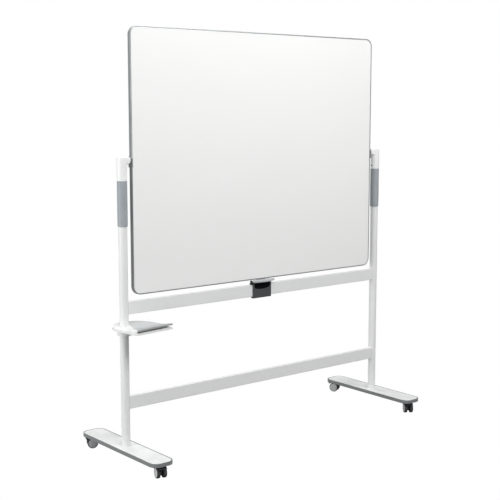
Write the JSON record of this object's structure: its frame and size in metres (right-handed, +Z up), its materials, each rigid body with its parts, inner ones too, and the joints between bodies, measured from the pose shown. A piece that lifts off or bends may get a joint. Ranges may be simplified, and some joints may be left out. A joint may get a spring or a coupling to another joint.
{
  "type": "rolling whiteboard",
  "caption": "Two-sided whiteboard with rounded corners that turns over on side pivots in a white tube stand, with a latch, a swing-out pen tray and braked twin-wheel casters.",
  "frame": {"origin": "on the floor, under the middle of the stand, midway between the uprights", "axes": "+X along the board's width to the right seen from the front, -Y toward the front, +Z up"},
  "size_m": [1.7191, 0.6387, 1.967],
  "materials": {
    "enamel": "gloss",
    "frame_grey": "satin",
    "core_board": "matte",
    "white_coat": "satin",
    "white_plastic": "satin",
    "grip_grey": "matte",
    "foot_grey": "satin",
    "steel": "satin",
    "dark_steel": "satin",
    "anthracite": "matte",
    "black_plastic": "satin",
    "hood_black": "satin",
    "paddle_grey": "satin",
    "black_rubber": "matte",
    "wheel_grey": "satin",
    "tray_grey": "satin"
  },
  "bodies": {
    "stand": {"upright_left": "white_coat", "grip_left": "grip_grey", "pivot_head_left": "white_plastic", "head_screw_left": "dark_steel", "foot_base_left": "foot_grey", "foot_cover_left": "white_plastic", "foot_bolt_left": "steel", "tube_plug_left": "black_plastic", "upright_right": "white_coat", "grip_right": "grip_grey", "pivot_head_right": "white_plastic", "head_screw_right": "dark_steel", "foot_base_right": "foot_grey", "foot_cover_right": "white_plastic", "foot_bolt_right": "steel", "tube_plug_right": "black_plastic", "crossbar_upper": "white_coat", "crossbar_lower": "white_coat", "latch_base": "anthracite", "latch_side_arm": "black_plastic", "latch_pin": "steel", "caster_stem_front_left": "steel", "caster_stem_front_right": "steel", "caster_stem_rear_right": "steel", "caster_stem_rear_left": "steel"},
    "board": {"board_frame": "frame_grey", "front_panel": "enamel", "rear_panel": "enamel", "board_core": "core_board", "pivot_bracket_left": "frame_grey", "pivot_bracket_right": "frame_grey", "pivot_pin_left": "steel", "pivot_pin_right": "steel"},
    "latch_lever": {"latch_lever": "paddle_grey", "latch_pad": "black_rubber"},
    "tray_collar": {"tray_collar": "white_plastic", "tray_screw": "dark_steel"},
    "tray": {"tray_lower": "white_plastic", "tray_upper": "tray_grey"},
    "caster_front_left": {"caster_hood_front_left": "hood_black", "caster_axle_front_left": "steel"},
    "wheel_a_front_left": {"wheel_a_front_left": "wheel_grey"},
    "wheel_b_front_left": {"wheel_b_front_left": "wheel_grey"},
    "brake_pedal_front_left": {"brake_pedal_front_left": "hood_black"},
    "caster_front_right": {"caster_hood_front_right": "hood_black", "caster_axle_front_right": "steel"},
    "wheel_a_front_right": {"wheel_a_front_right": "wheel_grey"},
    "wheel_b_front_right": {"wheel_b_front_right": "wheel_grey"},
    "brake_pedal_front_right": {"brake_pedal_front_right": "hood_black"},
    "caster_rear_right": {"caster_hood_rear_right": "hood_black", "caster_axle_rear_right": "steel"},
    "wheel_a_rear_right": {"wheel_a_rear_right": "wheel_grey"},
    "wheel_b_rear_right": {"wheel_b_rear_right": "wheel_grey"},
    "brake_pedal_rear_right": {"brake_pedal_rear_right": "hood_black"},
    "caster_rear_left": {"caster_hood_rear_left": "hood_black", "caster_axle_rear_left": "steel"},
    "wheel_a_rear_left": {"wheel_a_rear_left": "wheel_grey"},
    "wheel_b_rear_left": {"wheel_b_rear_left": "wheel_grey"},
    "brake_pedal_rear_left": {"brake_pedal_rear_left": "hood_black"}
  },
  "joints": [
    {"name": "board_pivot", "type": "hinge", "parent": "stand", "child": "board", "pos_m": [0, 0, 1.367], "axis": [1, 0, 0], "continuous": true},
    {"name": "latch_press", "type": "hinge", "parent": "stand", "child": "latch_lever", "pos_m": [0, -0.004, 0.757], "axis": [1, 0, 0], "range_deg": [0, 15], "stiffness_Nm_per_rad": 0.6, "springref_deg": -11.46},
    {"name": "tray_height", "type": "slide", "parent": "stand", "child": "tray_collar", "axis": [0, 0, 1], "range_m": [-0.282, 0.035]},
    {"name": "tray_swing", "type": "hinge", "parent": "tray_collar", "child": "tray", "pos_m": [-0.8, 0, 0.618], "axis": [0, 0, 1], "continuous": true},
    {"name": "caster_swivel_front_left", "type": "hinge", "parent": "stand", "child": "caster_front_left", "pos_m": [-0.8, -0.266, 0.04], "axis": [0, 0, 1], "continuous": true},
    {"name": "wheel_a_spin_front_left", "type": "hinge", "parent": "caster_front_left", "child": "wheel_a_front_left", "pos_m": [-0.80466, -0.28339, 0.025], "axis": [0.9659, -0.2588, 0], "continuous": true},
    {"name": "wheel_b_spin_front_left", "type": "hinge", "parent": "caster_front_left", "child": "wheel_b_front_left", "pos_m": [-0.80466, -0.28339, 0.025], "axis": [0.9659, -0.2588, 0], "continuous": true},
    {"name": "brake_press_front_left", "type": "hinge", "parent": "caster_front_left", "child": "brake_pedal_front_left", "pos_m": [-0.80906, -0.29981, 0.05], "axis": [0.9659, -0.2588, 0], "range_deg": [0, 12]},
    {"name": "caster_swivel_front_right", "type": "hinge", "parent": "stand", "child": "caster_front_right", "pos_m": [0.8, -0.266, 0.04], "axis": [0, 0, 1], "continuous": true},
    {"name": "wheel_a_spin_front_right", "type": "hinge", "parent": "caster_front_right", "child": "wheel_a_front_right", "pos_m": [0.7902, -0.2811, 0.025], "axis": [0.8387, -0.5446, 0], "continuous": true},
    {"name": "wheel_b_spin_front_right", "type": "hinge", "parent": "caster_front_right", "child": "wheel_b_front_right", "pos_m": [0.7902, -0.2811, 0.025], "axis": [0.8387, -0.5446, 0], "continuous": true},
    {"name": "brake_press_front_right", "type": "hinge", "parent": "caster_front_right", "child": "brake_pedal_front_right", "pos_m": [0.78094, -0.29535, 0.05], "axis": [0.8387, -0.5446, 0], "range_deg": [0, 12]},
    {"name": "caster_swivel_rear_right", "type": "hinge", "parent": "stand", "child": "caster_rear_right", "pos_m": [0.8, 0.266, 0.04], "axis": [0, 0, 1], "continuous": true},
    {"name": "wheel_a_spin_rear_right", "type": "hinge", "parent": "caster_rear_right", "child": "wheel_a_rear_right", "pos_m": [0.79138, 0.2818, 0.025], "axis": [-0.878, -0.4787, 0], "continuous": true},
    {"name": "wheel_b_spin_rear_right", "type": "hinge", "parent": "caster_rear_right", "child": "wheel_b_rear_right", "pos_m": [0.79138, 0.2818, 0.025], "axis": [-0.878, -0.4787, 0], "continuous": true},
    {"name": "brake_press_rear_right", "type": "hinge", "parent": "caster_rear_right", "child": "brake_pedal_rear_right", "pos_m": [0.78325, 0.29673, 0.05], "axis": [-0.878, -0.4787, 0], "range_deg": [0, 12]},
    {"name": "caster_swivel_rear_left", "type": "hinge", "parent": "stand", "child": "caster_rear_left", "pos_m": [-0.8, 0.266, 0.04], "axis": [0, 0, 1], "continuous": true},
    {"name": "wheel_a_spin_rear_left", "type": "hinge", "parent": "caster_rear_left", "child": "wheel_a_rear_left", "pos_m": [-0.81657, 0.27303, 0.025], "axis": [-0.3907, -0.9205, 0], "continuous": true},
    {"name": "wheel_b_spin_rear_left", "type": "hinge", "parent": "caster_rear_left", "child": "wheel_b_rear_left", "pos_m": [-0.81657, 0.27303, 0.025], "axis": [-0.3907, -0.9205, 0], "continuous": true},
    {"name": "brake_press_rear_left", "type": "hinge", "parent": "caster_rear_left", "child": "brake_pedal_rear_left", "pos_m": [-0.83222, 0.27968, 0.05], "axis": [-0.3907, -0.9205, 0], "range_deg": [0, 12]}
  ]
}
